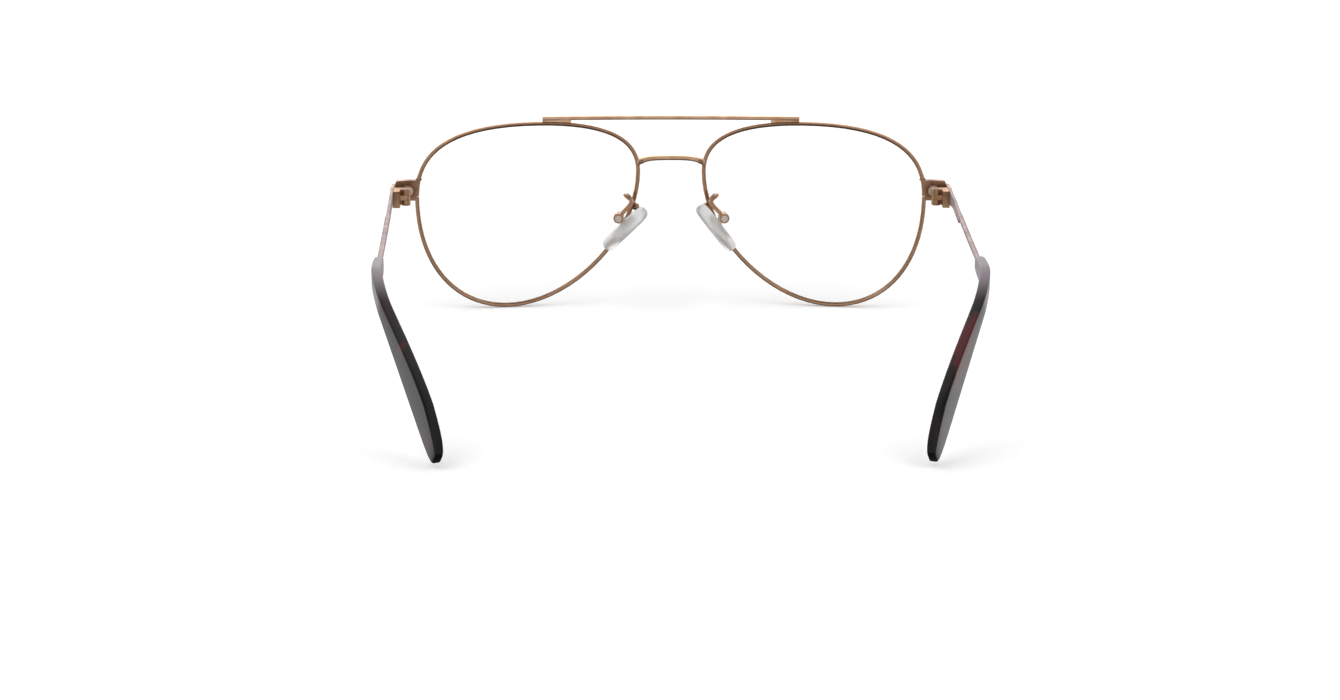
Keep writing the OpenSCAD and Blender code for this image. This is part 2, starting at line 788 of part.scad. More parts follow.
module middle_bridge() { left() bridge(); }
module middle_brow_bar() { left() brow_bar(); }
module left_rim() { left() rim(); }
module left_lens() { left() lens(); }
module left_end_piece() { left() end_piece(); }
module left_lock_block() { left() lock_block(); }
module left_lock_screw() { left() lock_screw(); }
module left_magnet() { left() magnet(); }
module left_front_leaf() { left() front_leaf(); }
module left_hinge_screw() { left() hinge_screw(); }
module left_temple_leaf() { left() temple_leaf(); }
module left_temple_arm() { left() temple_arm(); }
module left_temple_tip() { left() temple_tip(); }
module left_pad_arm() { left() pad_arm(); }
module left_pad_box() { left() pad_box(); }
module left_pad_screw() { left() pad_screw(); }
module left_pad_insert() { left() pad_insert(); }
module left_nose_pad() { left() nose_pad(); }
module right_rim() { right() rim(); }
module right_lens() { right() lens(); }
module right_end_piece() { right() end_piece(); }
module right_lock_block() { right() lock_block(); }
module right_lock_screw() { right() lock_screw(); }
module right_magnet() { right() magnet(); }
module right_front_leaf() { right() front_leaf(); }
module right_hinge_screw() { right() hinge_screw(); }
module right_temple_leaf() { right() temple_leaf(); }
module right_temple_arm() { right() temple_arm(); }
module right_temple_tip() { right() temple_tip(); }
module right_pad_arm() { right() pad_arm(); }
module right_pad_box() { right() pad_box(); }
module right_pad_screw() { right() pad_screw(); }
module right_pad_insert() { right() pad_insert(); }
module right_nose_pad() { right() nose_pad(); }

middle_bridge();  // bridge
middle_brow_bar();  // brow_bar
left_rim();
left_lens();
left_end_piece();
left_lock_block();
left_lock_screw();
left_magnet();
left_front_leaf();
left_hinge_screw();
left_temple_leaf();
left_temple_arm();
left_temple_tip();
left_pad_arm();
left_pad_box();
left_pad_screw();
left_pad_insert();
left_nose_pad();
right_rim();
right_lens();
right_end_piece();
right_lock_block();
right_lock_screw();
right_magnet();
right_front_leaf();
right_hinge_screw();
right_temple_leaf();
right_temple_arm();
right_temple_tip();
right_pad_arm();
right_pad_box();
right_pad_screw();
right_pad_insert();
right_nose_pad();
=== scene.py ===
# %% [markdown]
# # A wire eyeglass frame, seen from behind
# The metal parts, lenses, pads and tips come from a CAD model and keep its sizes.
# Blender adds what CAD leaves out: the finishes, the beads of braze where wires meet,
# the soft nose pads, and the light. Everything is in metres, with X to the wearer's
# left, Y back along the temples and Z up.

import math

import bpy
from mathutils import Matrix, Vector


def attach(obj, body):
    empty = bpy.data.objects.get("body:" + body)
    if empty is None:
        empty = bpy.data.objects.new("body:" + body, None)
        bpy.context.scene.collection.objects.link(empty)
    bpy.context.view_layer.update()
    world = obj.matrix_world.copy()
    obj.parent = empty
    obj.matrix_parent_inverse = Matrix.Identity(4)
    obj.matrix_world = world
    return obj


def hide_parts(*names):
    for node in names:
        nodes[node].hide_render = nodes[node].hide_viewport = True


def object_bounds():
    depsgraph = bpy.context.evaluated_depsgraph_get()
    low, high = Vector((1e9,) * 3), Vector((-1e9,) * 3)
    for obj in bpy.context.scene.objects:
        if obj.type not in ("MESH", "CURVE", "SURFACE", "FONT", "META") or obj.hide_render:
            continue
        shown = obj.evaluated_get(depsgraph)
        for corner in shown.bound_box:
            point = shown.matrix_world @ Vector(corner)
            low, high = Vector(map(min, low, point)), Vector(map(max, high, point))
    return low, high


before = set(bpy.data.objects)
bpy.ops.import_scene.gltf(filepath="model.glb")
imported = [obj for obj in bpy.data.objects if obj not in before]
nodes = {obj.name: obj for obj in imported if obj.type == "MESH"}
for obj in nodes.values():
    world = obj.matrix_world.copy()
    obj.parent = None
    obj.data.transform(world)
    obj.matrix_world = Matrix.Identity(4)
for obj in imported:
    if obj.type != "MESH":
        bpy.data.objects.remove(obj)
bpy.context.view_layer.update()
cad_low, cad_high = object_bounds()
print("CAD pieces:", len(nodes))
print("box in mm:", [round(1000 * size, 1) for size in cad_high - cad_low])

# %% [markdown]
# ## Units and colours
# Sizes below are typed in millimetres and multiplied by MM. Colours are written as the
# hex values that an image editor shows, and one function turns them into the linear
# numbers that the renderer works with.

# %% Units and colours
MM = 0.001
SIDES = ("left", "right")


def linear(hex_colour):
    """Linear red, green, blue and alpha of an sRGB colour such as "#c09473"."""
    parts = [int(hex_colour[i : i + 2], 16) / 255 for i in (1, 3, 5)]
    light = [p / 12.92 if p <= 0.04045 else ((p + 0.055) / 1.055) ** 2.4 for p in parts]
    return light + [1]


print("rose gold in linear light:", [round(c, 3) for c in linear("#c09473")[:3]])

# %% [markdown]
# ## Shader nodes
# One function adds a node, sets its options and fills or links its inputs. A few short
# ones on top of it name what the materials do again and again: carry a value from one
# span to another, do one sum, mix two colours, and make noise of a real size. With them
# a material reads as a short list.

# %% Node helpers
def add_node(tree, kind, inputs=None, **settings):
    """A new node with its settings; each input gets a value or a link from a socket."""
    made = tree.nodes.new(kind)
    for name, value in settings.items():
        setattr(made, name, value)
    for name, value in (inputs or {}).items():
        if isinstance(value, bpy.types.NodeSocket):
            tree.links.new(value, made.inputs[name])
        else:
            made.inputs[name].default_value = value
    return made


def remap(tree, value, span, ends=(0, 1), curve="LINEAR"):
    """A value carried from its span to the two ends, and level outside the span."""
    return add_node(tree, "ShaderNodeMapRange", {
        "Value": value, "From Min": span[0], "From Max": span[1],
        "To Min": ends[0], "To Max": ends[1],
    }, interpolation_type=curve).outputs["Result"]


def maths(tree, operation, first, second=0):
    """The result of one operation on two values."""
    made = add_node(tree, "ShaderNodeMath", {0: first, 1: second}, operation=operation)
    return made.outputs["Value"]


def blend(tree, share, first, second):
    """A mix of two colours: share 0 gives the first and share 1 the second."""
    # the node has a set of sockets for each kind of value; 6, 7 and 2 are its colours
    made = add_node(tree, "ShaderNodeMix", {
        "Factor": share, 6: first, 7: second,
    }, data_type="RGBA")
    return made.outputs[2]


def noise(tree, place, size_mm, detail=2):
    """Soft noise from 0 to 1 with patches of about size_mm."""
    return add_node(tree, "ShaderNodeTexNoise", {
        "Vector": place, "Scale": 1 / (size_mm * MM), "Detail": detail,
    }).outputs["Fac"]


def direct_ray(tree):
    """1 for a ray straight from the camera or through glass, 0 for any other."""
    rays = add_node(tree, "ShaderNodeLightPath").outputs
    return maths(tree, "MAXIMUM", rays["Is Camera Ray"], rays["Is Transmission Ray"])


print("shader helpers:", [f.__name__ for f in (add_node, remap, maths, blend, noise)])

# %% [markdown]
# ## Materials and places
# Every material starts empty. On the pieces, its patterns are placed by object
# coordinates, which ride with the piece when a temple folds, and it ends in one
# Principled shader.

# %% Material helpers
def new_material(name):
    """An empty material and its node tree."""
    made = bpy.data.materials.new(name)
    made.use_nodes = True
    made.node_tree.nodes.clear()
    return made, made.node_tree


def object_place(tree):
    """The place on the piece, in metres."""
    return add_node(tree, "ShaderNodeTexCoord").outputs["Object"]


def bumps(tree, height, strength, depth_mm):
    """A normal that follows a height pattern."""
    return add_node(tree, "ShaderNodeBump", {
        "Height": height, "Strength": strength, "Distance": depth_mm * MM,
    }).outputs["Normal"]


def principled(tree, inputs):
    """A Principled shader with these inputs, as the material's surface."""
    shader = add_node(tree, "ShaderNodeBsdfPrincipled", inputs)
    add_node(tree, "ShaderNodeOutputMaterial", {"Surface": shader.outputs["BSDF"]})


print("materials so far:", len(bpy.data.materials))

# %% [markdown]
# ## Camera
# The photograph was taken from behind and a little above, with a long lens, so the two
# temples hardly converge. The numbers come from fitting this frame's known sizes to
# the photograph. The view is built from three angles: the turn about the upright
# line, the tilt down and a slight roll. The focal length is counted in pixels of an
# image IMAGE_WIDTH pixels wide, and turned into millimetres on a sensor of SENSOR_MM.

# %% Camera
CAMERA_AT = Vector((14.8, 542.55, 159.80)) * MM
CAMERA_TURN = math.radians(1.39)
CAMERA_TILT = math.radians(15.84)
CAMERA_ROLL = math.radians(0.27)
FOCAL_PIXELS = 2430
IMAGE_WIDTH = 1340
SENSOR_MM = 36
NEAREST_SEEN = 0.01
FARTHEST_SEEN = 50

ahead = Vector((
    -math.sin(CAMERA_TURN) * math.cos(CAMERA_TILT),
    -math.cos(CAMERA_TURN) * math.cos(CAMERA_TILT),
    -math.sin(CAMERA_TILT),
))
level_right = ahead.cross(Vector((0, 0, 1))).normalized()
level_up = level_right.cross(ahead)
view_right = math.cos(CAMERA_ROLL) * level_right + math.sin(CAMERA_ROLL) * level_up
view_up = view_right.cross(ahead)

camera = bpy.data.objects.new("camera", bpy.data.cameras.new("camera"))
camera.data.sensor_width = SENSOR_MM
camera.data.lens = FOCAL_PIXELS / IMAGE_WIDTH * SENSOR_MM
camera.data.clip_start = NEAREST_SEEN
camera.data.clip_end = FARTHEST_SEEN
camera.matrix_world = Matrix.Translation(CAMERA_AT) @ Matrix(
    (view_right, view_up, -ahead)
).transposed().to_4x4()
bpy.context.scene.collection.objects.link(camera)
bpy.context.scene.camera = camera
print("lens in mm:", round(camera.data.lens, 2))

# %% [markdown]
# ## The studio
# The frame was shot on a white sweep. The floor and the world are white to the camera
# and to the rays that pass through glass. The light that reaches the pieces comes from
# a soft sky and three large lamps at a plain level. Plated metal takes its look from
# what it mirrors, so reflections see a studio: white in front, with one softbox, darker
# behind the camera, at the sides and below, and a grey card above the temples, which
# photographers call a flag. That gives each wire a pale top, a brown back and a dark
# underside, and keeps the backs of the tips black.

# %% World
SKY_LEVEL = 0.55
# how strong the white is in a reflection that looks to the front and to the back
REFLECTED_FRONT = 1.2
REFLECTED_BEHIND = 0.66
# what is left of it where the reflection looks down, at the flag and to a side
REFLECTED_BELOW = 0.16
REFLECTED_FLAG = 0.18
REFLECTED_SIDE = 0.62
# where each of these sets in, as a part of the reflection's direction of length 1
BEHIND_Y = (-0.8, 0.1)
BELOW_Z = (-0.62, -0.32)
FLAG_COSINE = (0.86, 0.98)
SIDE_X = (0.45, 0.8)
FLAG_WAY = (0.0, 0.35, 0.937)

world = bpy.data.worlds.new("studio")
bpy.context.scene.world = world
world.use_nodes = True
sky = world.node_tree
sky.nodes.clear()
direction = add_node(sky, "ShaderNodeTexCoord").outputs["Generated"]
way = add_node(sky, "ShaderNodeSeparateXYZ", {"Vector": direction}).outputs
toward_flag = add_node(sky, "ShaderNodeVectorMath", {
    0: direction, 1: FLAG_WAY,
}, operation="DOT_PRODUCT").outputs["Value"]
sideways = maths(sky, "ABSOLUTE", way["X"])
behind = remap(sky, way["Y"], BEHIND_Y, (REFLECTED_FRONT, REFLECTED_BEHIND), "SMOOTHSTEP")
below = remap(sky, way["Z"], BELOW_Z, (REFLECTED_BELOW, 1), "SMOOTHSTEP")
flag = remap(sky, toward_flag, FLAG_COSINE, (1, REFLECTED_FLAG), "SMOOTHSTEP")
cards = remap(sky, sideways, SIDE_X, (1, REFLECTED_SIDE), "SMOOTHSTEP")
round_about = maths(sky, "MULTIPLY", behind, cards)
upright = maths(sky, "MULTIPLY", flag, below)
studio = maths(sky, "MULTIPLY", round_about, upright)
plain = maths(sky, "MAXIMUM", direct_ray(sky), SKY_LEVEL)
glossy = add_node(sky, "ShaderNodeLightPath").outputs["Is Glossy Ray"]
# 2 and 3 are the mix's number sockets: the plain white for other rays, the studio for gloss
strength = add_node(sky, "ShaderNodeMix", {
    0: glossy, 2: plain, 3: studio,
}, data_type="FLOAT").outputs[0]
background = add_node(sky, "ShaderNodeBackground", {
    "Color": (1, 1, 1, 1), "Strength": strength,
})
add_node(sky, "ShaderNodeOutputWorld", {"Surface": background.outputs["Background"]})
print("sky strength on the pieces:", SKY_LEVEL)

# %% [markdown]
# ## Floor
# The floor is one large sheet. It is matt paper for the shadows, with a little glow of
# its own for the camera, which grows away from the object, where the lamps fade. Metal
# mirrors the studio below in place of the floor.

# %% Floor
FLOOR_HALF = 3.0
# strength of the glow near and far, and the distances in metres where it starts and ends
FLOOR_GLOW = (0.24, 0.75)
GLOW_REACH = (0.2, 1.4)
floor_mesh = bpy.data.meshes.new("floor")
floor_mesh.from_pydata(
    [(x * FLOOR_HALF, y * FLOOR_HALF, 0) for x, y in ((-1, -1), (1, -1), (1, 1), (-1, 1))],
    [], [(0, 1, 2, 3)],
)
floor = bpy.data.objects.new("floor", floor_mesh)
floor.visible_glossy = False
bpy.context.scene.collection.objects.link(floor)

paper, tree = new_material("white paper sweep")
matte = add_node(tree, "ShaderNodeBsdfDiffuse", {"Color": linear("#f2f2f2")})
distance = add_node(tree, "ShaderNodeVectorMath", {
    0: object_place(tree),
}, operation="LENGTH").outputs["Value"]
glow_level = remap(tree, distance, GLOW_REACH, FLOOR_GLOW)
glow = add_node(tree, "ShaderNodeEmission", {
    "Strength": maths(tree, "MULTIPLY", direct_ray(tree), glow_level),
})
both = add_node(tree, "ShaderNodeAddShader", {
    0: matte.outputs["BSDF"], 1: glow.outputs["Emission"],
})
add_node(tree, "ShaderNodeOutputMaterial", {"Surface": both.outputs["Shader"]})
floor.data.materials.append(paper)
print("floor half width in m:", FLOOR_HALF)

# %% [markdown]
# ## Lamps
# Two wide lamps above only light the pieces. The softbox in front also shows in
# reflections: it is what the tops of the wires mirror. All three face the middle of the
# frame.

# %% Lamps
# name: (place in m, side in m, power in W, shows in reflections)
LAMPS = {
    "top_left": ((0.5, 0.1, 0.9), 0.9, 3.2, False),
    "top_right": ((-0.6, 0.2, 0.8), 0.8, 2.0, False),
    "front": ((0.1, -1.0, 0.55), 0.7, 1.7, True),
}
aim = (cad_low + cad_high) / 2
for name, (place, size, watts, in_reflections) in LAMPS.items():
    lamp = bpy.data.objects.new(name, bpy.data.lights.new(name, "AREA"))
    lamp.data.shape = "SQUARE"
    lamp.data.size = size
    lamp.data.energy = watts
    lamp.visible_glossy = in_reflections
    lamp.location = place
    lamp.rotation_mode = "QUATERNION"
    lamp.rotation_quaternion = (aim - Vector(place)).to_track_quat("-Z", "Y")
    bpy.context.scene.collection.objects.link(lamp)
print("lamps:", list(LAMPS))

# %% [markdown]
# ## Rose gold plate
# The wires are nickel silver that was drawn, bent, brazed, barrel polished, plated with
# copper-rich gold and sealed with a thin clear lacquer. A metal has its colour in the
# reflection, so the base colour is the plate's and Metallic is 1. Barrel polishing
# leaves a satin with faint cloudy patches, about 3 mm across, and a fine grain. The
# lacquer is the coat: it adds a pale gloss that pales the tops. Where the bend of a
# surface is tight the plate is rubbed thin and looks a little paler: Pointiness finds
# those edges.

# %% Plated metal
PATCH_MM = 3.0
# the real grain is near 0.02 mm; it is drawn coarser so that it shows
GRAIN_MM = 0.25
GRAIN_STRENGTH = 0.2
GRAIN_DEPTH_MM = 0.01
# noise values over which one patch passes into the next, in colour and in gloss
PATCH_COLOUR_SPAN = (0.35, 0.65)
PATCH_GLOSS_SPAN = (0.3, 0.7)
# how much smoother and rougher than its roughness a metal is from patch to patch
SMOOTHER = 0.05
ROUGHER = 0.07
# Pointiness is 0.5 on a flat face; the plate is rubbed by up to half where it is higher
EDGE_POINTINESS = (0.52, 0.62)
EDGE_RUBBED = 0.5
LACQUER_ROUGHNESS = 0.3
LACQUER_IOR = 1.5


def plated_metal(name, colour, shade, worn, rough, lacquer=0.35):
    """Satin plate: two close colours in cloudy patches, paler edges and a fine grain."""
    made, tree = new_material(name)
    place = object_place(tree)
    patches = noise(tree, place, PATCH_MM, detail=3)
    grain = noise(tree, place, GRAIN_MM)
    plate = blend(
        tree, remap(tree, patches, PATCH_COLOUR_SPAN), linear(colour), linear(shade)
    )
    pointiness = add_node(tree, "ShaderNodeNewGeometry").outputs["Pointiness"]
    rubbed = remap(tree, pointiness, EDGE_POINTINESS, (0, EDGE_RUBBED))
    gloss_ends = (rough - SMOOTHER, rough + ROUGHER)
    principled(tree, {
        "Base Color": blend(tree, rubbed, plate, linear(worn)),
        "Metallic": 1.0,
        "Roughness": remap(tree, patches, PATCH_GLOSS_SPAN, gloss_ends),
        "Normal": bumps(tree, grain, GRAIN_STRENGTH, GRAIN_DEPTH_MM),
        "Coat Weight": lacquer,
        "Coat Roughness": LACQUER_ROUGHNESS,
        "Coat IOR": LACQUER_IOR,
    })
    return made


print("patches in mm:", PATCH_MM)

# %% [markdown]
# ## The metals of this frame
# The rims and the bars are polished to a soft shine. The plate on the bars is painted
# paler than on the rims: a painted highlight for their lit tops. The end pieces are
# brushed and the hinge leaves bead blasted, so they are duller, and the plate on the end
# pieces is painted darker: a painted shade for the recess they sit in. The temples and
# the hinge screws have a pinker plate and hardly any lacquer. The lock screws and pad
# screws are bare steel, and the magnets and the cores of the pads are plated white.

# %% Metals
# each row: name, plate, its duller patches, its rubbed edges and its roughness
rim_gold = plated_metal(
    "rose gold plate, barrel polished", "#c09473", "#ad815f", "#d8b498", 0.19)
# the bars' paler plate is a painted highlight, standing in for the light on their tops
bar_gold_painted_highlight = plated_metal(
    "rose gold plate, buffed, painted highlight", "#e4b896", "#d3a37e", "#f0d0b8", 0.2)
hinge_gold = plated_metal(
    "rose gold plate, bead blasted", "#caa07a", "#b88c67", "#d8b596", 0.45, lacquer=0.15)
# the end pieces' darker plate is a painted shade, standing in for the shade in their recess
lug_gold_painted_shade = plated_metal(
    "rose gold plate, brushed, painted shade", "#aa8265", "#946f53", "#c8a286", 0.42)
pink_gold = plated_metal(
    "pink gold plate, satin", "#a28d8d", "#957f80", "#b3a09e", 0.5, lacquer=0.03)
steel = plated_metal(
    "stainless steel, turned", "#d0c8be", "#b8b0a6", "#e2dcd4", 0.28)
nickel = plated_metal(
    "nickel plated magnet", "#f0e2cc", "#e2d2ba", "#f4ead8", 0.4)
core_plate = plated_metal(
    "stamped pad core", "#e2dfd9", "#c4c0b9", "#ecebe6", 0.3)
print("temple plate:", pink_gold.name)

# %% [markdown]
# ## Lenses and pads
# The lenses are cast acrylic demo lenses, polished clear: they bend light a little and
# show only their gloss and their edges. The nose pads are moulded silicone. It is milky,
# so some of the light goes through and some scatters inside, and the mould leaves a
# satin skin. A plated core sits inside each pad and shows as a grey shade.

# %% Clear and milky plastics
ACRYLIC_IOR = 1.49
ACRYLIC_HAZE = 0.02
ACRYLIC_HAZE_MM = 9
SILICONE_IOR = 1.41
SILICONE_ROUGHNESS = 0.32
# shares of the light that pass straight through and that scatter inside
SILICONE_CLEAR = 0.68
SILICONE_SCATTER = 0.2
# how far red, green and blue light scatter, in mm
SCATTER_MM = (1.2, 1.1, 1.0)
CLOUD_MM = 2.5
SKIN_MM = 0.4
SKIN_STRENGTH = 0.15
SKIN_DEPTH_MM = 0.02


def clear_acrylic():
    """A polished clear body with a faint uneven gloss."""
    made, tree = new_material("acrylic demo lens")
    haze = noise(tree, object_place(tree), ACRYLIC_HAZE_MM)
    principled(tree, {
        "Base Color": linear("#ffffff"),
        "Roughness": remap(tree, haze, (0, 1), (0, ACRYLIC_HAZE)),
        "IOR": ACRYLIC_IOR,
        "Transmission Weight": 1.0,
    })
    return made


def milky_silicone():
    """Translucent silicone: cloudy inside, with a satin moulded skin."""
    made, tree = new_material("silicone, moulded milky")
    place = object_place(tree)
    cloud = noise(tree, place, CLOUD_MM, detail=3)
    skin = noise(tree, place, SKIN_MM)
    principled(tree, {
        "Base Color": blend(tree, cloud, linear("#fafafa"), linear("#e8e7e6")),
        "Roughness": SILICONE_ROUGHNESS,
        "IOR": SILICONE_IOR,
        "Transmission Weight": SILICONE_CLEAR,
        "Subsurface Weight": SILICONE_SCATTER,
        "Subsurface Radius": SCATTER_MM,
        "Subsurface Scale": MM,
        "Normal": bumps(tree, skin, SKIN_STRENGTH, SKIN_DEPTH_MM),
    })
    return made


demo_lens = clear_acrylic()
silicone = milky_silicone()
print("plastics:", demo_lens.name, "and", silicone.name)

# %% [markdown]
# ## Acetate
# The tips are cut from cellulose acetate sheet and tumble polished, so their faces are
# flat and glossy and meet in soft edges. The sheet is block tortoise: nearly black with
# a green-brown cast, and a few clear dark-red drifts cut at random by the saw. Each
# drift is a long ellipsoid lying along the tip, with its edge frayed by noise, so that
# every face which cuts it shows the same drift. The photograph shows one long drift on
# the wearer's right tip, a spot on the left one and a tinge near both ends. The start of
# each tip, over the core wire, is less polished and carries a painted sheen: a smoky
# lilac grey in its colour stands in for the reflection of the bright front, and fades to
# black at the bend.

# %% Acetate
# the way up along the drop of the left tip; the right one mirrors it
DROP_WAY = Vector((0.325, -0.677, 0.660))
# (middle in mm, radii in mm across, along and through the tip, depth of colour)
DRIFTS = (
    ((-59.2, 53.4, 20.9), (2.4, 10.8, 4.4), 1.0),
    ((-53.0, 64.6, 7.6), (1.6, 3.0, 3.4), 0.5),
    ((58.6, 52.6, 20.6), (1.6, 2.0, 1.8), 0.95),
    ((62.8, 45.0, 26.6), (1.4, 3.4, 2.4), 0.2),
    ((52.6, 65.8, 5.6), (1.6, 3.0, 3.0), 0.4),
)
# parts of a drift's radius over which its colour fades, and how far the noise moves them
DRIFT_FADE = (0.75, 1.1)
FRAY = 0.22
FRAY_MM = 2.2
FRAY_SPAN = (0.3, 0.7)
# the sheet's own cast drifts between green-black and brown-black
CAST_MM = 9
# Y in mm where the painted sheen on the start begins to fade to black and where it is gone
PAINTED_SHEEN_END = (36, 45)
POLISHED = 0.17
UNPOLISHED = 0.42
ACETATE_IOR = 1.48
ACETATE_SPECULAR = 0.43


def tortoise_acetate():
    """Near-black acetate sheet with a painted sheen on its start and frayed drifts of dark
    red.
    """
    made, tree = new_material("cellulose acetate, dark tortoise")
    place = object_place(tree)
    frayed = remap(tree, noise(tree, place, FRAY_MM, detail=3), FRAY_SPAN, (-FRAY, FRAY))
    colour = blend(tree, noise(tree, place, CAST_MM), linear("#0d0c08"), linear("#120a09"))
    for middle, radii, depth in DRIFTS:
        way = Vector((math.copysign(DROP_WAY.x, middle[0]), DROP_WAY.y, DROP_WAY.z))
        inside = add_node(tree, "ShaderNodeMapping", {
            "Vector": place,
            "Location": Vector(middle) * MM,
            "Rotation": Vector((0, 1, 0)).rotation_difference(way).to_euler(),
            "Scale": Vector(radii) * MM,
        }, vector_type="TEXTURE")
        radius = add_node(tree, "ShaderNodeVectorMath", {
            0: inside.outputs[0],
        }, operation="LENGTH").outputs["Value"]
        edge = maths(tree, "ADD", radius, frayed)
        red = remap(tree, edge, DRIFT_FADE, (depth, 0), "SMOOTHSTEP")
        colour = blend(tree, red, colour, linear("#4c1213"))
    along = add_node(tree, "ShaderNodeSeparateXYZ", {"Vector": place}).outputs["Y"]
    painted_sheen = remap(tree, along, [y * MM for y in PAINTED_SHEEN_END], (1, 0), "SMOOTHSTEP")
    principled(tree, {
        # the lilac grey on the start is a painted sheen: it stands in for the reflection of
        # the bright front
        "Base Color": blend(tree, painted_sheen, colour, linear("#7d747a")),
        "Roughness": remap(tree, painted_sheen, (0, 1), (POLISHED, UNPOLISHED)),
        "IOR": ACETATE_IOR,
        "Specular IOR Level": ACETATE_SPECULAR,
        "Specular Tint": linear("#f3e9f0"),
    })
    return made


acetate = tortoise_acetate()
print("materials:", [m.name for m in bpy.data.materials if m.node_tree])

# %% [markdown]
# ## Smooth shading
# A CAD piece keeps its mesh. Geometry nodes join its triangles and soften the shading
# between faces that meet at a small angle, so that a bent wire shows no facets. Stamped
# pieces come out of the tumbler with broken edges, so the blocks get a bevel of a tenth
# of a millimetre: it catches a thin line of light, as a real edge does. The tips are
# tumbled until their ends are round, so only their very sharp corners stay.

# %% Smooth shading
WELD_DISTANCE = 0.0005 * MM
WIRE_SHARP_DEGREES = 40
TIP_SHARP_DEGREES = 80
BROKEN_EDGE = 0.1 * MM
BROKEN_EDGE_STEPS = 3
BROKEN_EDGE_DEGREES = 50
BEVELLED = ("end_piece", "front_leaf", "temple_leaf", "pad_box", "brow_bar", "magnet")


def weld_group(name, sharp_degrees=None):
    """Geometry nodes that weld a mesh. Given an angle, only sharper edges stay sharp."""
    group = bpy.data.node_groups.new(name, "GeometryNodeTree")
    for way in ("INPUT", "OUTPUT"):
        group.interface.new_socket("Geometry", in_out=way, socket_type="NodeSocketGeometry")
    start = add_node(group, "NodeGroupInput")
    last = add_node(group, "GeometryNodeMergeByDistance", {
        "Geometry": start.outputs[0], "Distance": WELD_DISTANCE,
    })
    if sharp_degrees is not None:
        angle = add_node(group, "GeometryNodeInputMeshEdgeAngle")
        sharp = add_node(group, "FunctionNodeCompare", {
            0: angle.outputs["Unsigned Angle"], 1: math.radians(sharp_degrees),
        }, operation="GREATER_THAN")
        last = add_node(group, "GeometryNodeSetMeshNormal", {
            "Mesh": last.outputs["Geometry"], "Remove Custom": True,
            "Edge Sharpness": sharp.outputs["Result"], "Face Sharpness": False,
        })
    add_node(group, "NodeGroupOutput", {0: last.outputs[0]})
    return group


smooth_wire = weld_group("smooth wire", WIRE_SHARP_DEGREES)
smooth_tip = weld_group("smooth tip", TIP_SHARP_DEGREES)
joined = weld_group("joined faces")
for piece_name, piece in nodes.items():
    stamped = piece_name.endswith(BEVELLED)
    tumbled = piece_name.endswith("temple_tip")
    if stamped:
        piece.modifiers.new("join", "NODES").node_group = joined
        bevel = piece.modifiers.new("broken edges", "BEVEL")
        bevel.width = BROKEN_EDGE
        bevel.segments = BROKEN_EDGE_STEPS
        bevel.limit_method = "ANGLE"
        bevel.angle_limit = math.radians(BROKEN_EDGE_DEGREES)
    smooth = piece.modifiers.new("smooth", "NODES")
    smooth.node_group = smooth_tip if tumbled else smooth_wire
    if stamped or tumbled:
        piece.modifiers.new("even faces", "WEIGHTED_NORMAL").keep_sharp = True
print("smoothed:", len(nodes))

# %% [markdown]
# ## Finishes on the CAD pieces
# Each CAD piece gets its finish in its own material slot. The lenses are clear, so they
# throw no shadow on the paper.

# %% Assign the finishes
FINISHES = {
    "rim": rim_gold, "end_piece": lug_gold_painted_shade, "lock_block": lug_gold_painted_shade, "front_leaf": hinge_gold,
    "temple_leaf": hinge_gold, "pad_arm": rim_gold, "pad_box": rim_gold,
    "temple_arm": pink_gold, "hinge_screw": pink_gold, "lock_screw": steel,
    "pad_screw": steel, "magnet": nickel, "lens": demo_lens, "temple_tip": acetate,
    "pad_insert": core_plate, "nose_pad": silicone,
}
for side in SIDES:
    for part, finish in FINISHES.items():
        nodes[f"{side}_{part}"].material_slots[0].material = finish
    nodes[f"{side}_lens"].visible_shadow = False
for part in ("bridge", "brow_bar"):
    nodes[part].material_slots[0].material = bar_gold_painted_highlight
print("finishes:", len(FINISHES), "on each side")

# %% [markdown]
# ## Lofting
# The pads and the braze are lofted: points in rings, one ring after another, with a face
# between each pair of neighbours and a flat cap at each end. The right side is the left
# one in a mirror, with each ring read backwards so that the faces still look out.

# %% Rings to a mesh
def loft(name, rings, material):
    """A closed mesh through rings of points in metres, with a flat cap at each end."""
    count = len(rings[0])
    points = [point for ring in rings for point in ring]
    faces = []
    for row in range(len(rings) - 1):
        low, high = row * count, (row + 1) * count
        for step in range(count):
            turn = (step + 1) % count
            faces.append((low + step, low + turn, high + turn, high + step))
    faces.append(tuple(reversed(range(count))))
    faces.append(tuple(range(len(points) - count, len(points))))
    mesh = bpy.data.meshes.new(name)
    mesh.from_pydata([tuple(p) for p in points], [], faces)
    mesh.materials.append(material)
    mesh.polygons.foreach_set("use_smooth", [True] * len(mesh.polygons))
    mesh.update()
    made = bpy.data.objects.new(name, mesh)
    bpy.context.scene.collection.objects.link(made)
    return made


def on_side(side, rings):
    """Rings drawn for the left side, as they are or in a mirror at X = 0."""
    if side == "left":
        return rings
    return [[Vector((-p.x, p.y, p.z)) for p in reversed(ring)] for ring in rings]


print("meshes before lofting:", len(bpy.data.meshes))

# %% [markdown]
# ## Nose pads
# A silicone pad is moulded round its core: a flat oblong a little wider at the lower
# end, with a full round edge and a slightly crowned face for the nose. It is lofted here
# from rings: each ring is the outline drawn in a little, so that the rim of the pad is a
# half round, and a subdivision surface smooths it. The wearer has pushed the two pads to
# slightly different angles about their screws. The pads are drawn in millimetres about
# the screw, with X down the pad, Y back along the screw and Z away from the nose.

# %% Pad outline
PAD_HALF = Vector((7.25, 3.8, 1.62))
PAD_MIDDLE = Vector((0.8, 0, -3.2))
PAD_EDGE = 1.45
PAD_CROWN = 0.14
